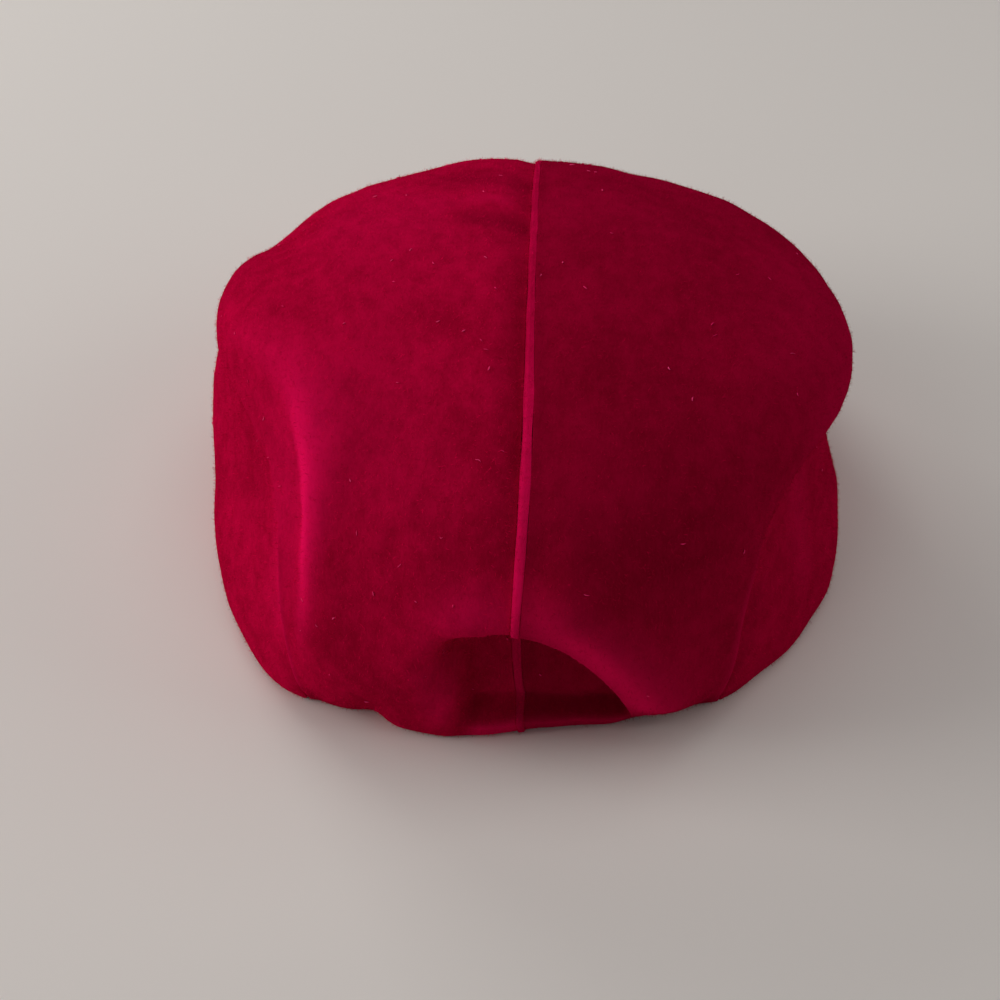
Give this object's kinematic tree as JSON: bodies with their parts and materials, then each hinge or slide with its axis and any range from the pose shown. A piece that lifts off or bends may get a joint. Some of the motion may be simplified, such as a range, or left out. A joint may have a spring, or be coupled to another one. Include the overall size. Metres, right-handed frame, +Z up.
{
  "type": "flat cap",
  "caption": "Soft wool felt flat cap with a puffed crown, raised centre seam, crescent side panels, turned hem, dented back and a short curved peak under the crown's front.",
  "frame": {"origin": "on the surface the cap lies on, under the middle of its box", "axes": "+Y towards the peak, +X to the wearer's right, +Z up out of the crown"},
  "size_m": [0.1946, 0.2386, 0.1009],
  "materials": {
    "felt": "crimson wool felt with a short nap",
    "felt_welt": "folded edge of the same felt, its nap worn brighter",
    "felt_peak": "the same felt drawn smooth over the peak"
  },
  "bodies": {
    "root": {"crown_left": "felt", "crown_right": "felt", "centre_seam": "felt_welt", "side_left": "felt", "side_right": "felt", "peak": "felt_peak"}
  },
  "joints": []
}
